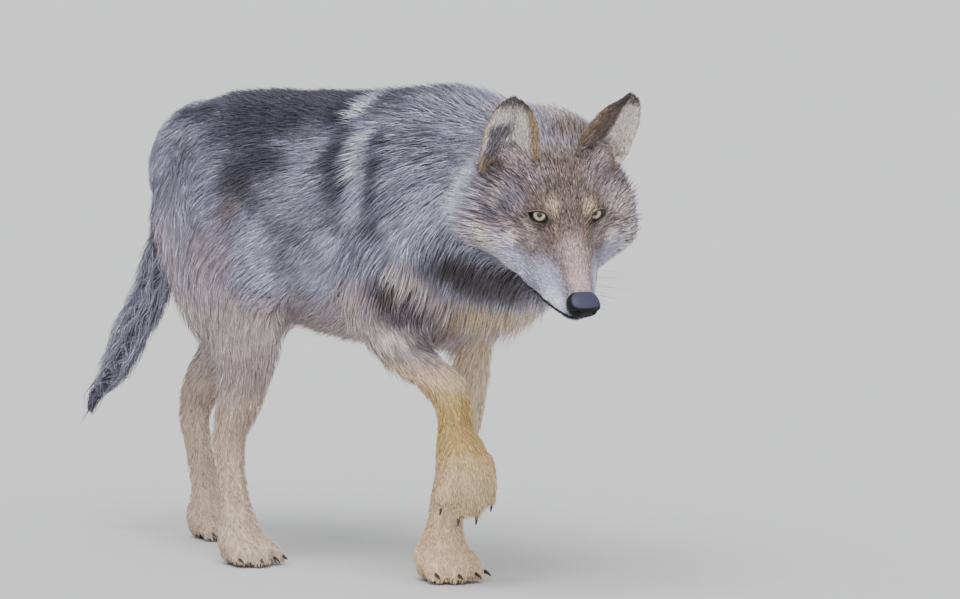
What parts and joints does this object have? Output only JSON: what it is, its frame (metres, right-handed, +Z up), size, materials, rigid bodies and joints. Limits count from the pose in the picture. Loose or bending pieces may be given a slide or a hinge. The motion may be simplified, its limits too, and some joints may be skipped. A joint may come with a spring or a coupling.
{
  "type": "wolf",
  "caption": "Life-size still model of a grey wolf walking with its head low, its right forefoot lifted and its tail hanging.",
  "frame": {"origin": "on the floor, under the middle of the model's bounding box", "axes": "+X forward along the body, +Y to the animal's left, +Z up"},
  "size_m": [1.3138, 0.3642, 0.7332],
  "materials": {
    "coat_body": "matt grey fur",
    "coat_face": "matt short grey-brown fur",
    "coat_leg": "matt short tan fur",
    "nose_pad": "moist black skin",
    "eye": "wet, clear surface over a pale amber iris",
    "claw": "smooth dark horn"
  },
  "bodies": {
    "root": {"trunk": "coat_body", "neck": "coat_body", "tail": "coat_body", "head": "coat_face", "jaw": "coat_face", "ear_left": "coat_face", "ear_right": "coat_face", "nose": "nose_pad", "eye_left": "eye", "eye_right": "eye", "leg_fore_left": "coat_leg", "leg_fore_right": "coat_leg", "leg_hind_left": "coat_leg", "leg_hind_right": "coat_leg", "paw_fore_left": "coat_leg", "paw_fore_right": "coat_leg", "paw_hind_left": "coat_leg", "paw_hind_right": "coat_leg", "claw_fore_left_1": "claw", "claw_fore_left_2": "claw", "claw_fore_left_3": "claw", "claw_fore_left_4": "claw", "claw_fore_right_1": "claw", "claw_fore_right_2": "claw", "claw_fore_right_3": "claw", "claw_fore_right_4": "claw", "claw_hind_left_1": "claw", "claw_hind_left_2": "claw", "claw_hind_left_3": "claw", "claw_hind_left_4": "claw", "claw_hind_right_1": "claw", "claw_hind_right_2": "claw", "claw_hind_right_3": "claw", "claw_hind_right_4": "claw"}
  },
  "joints": []
}
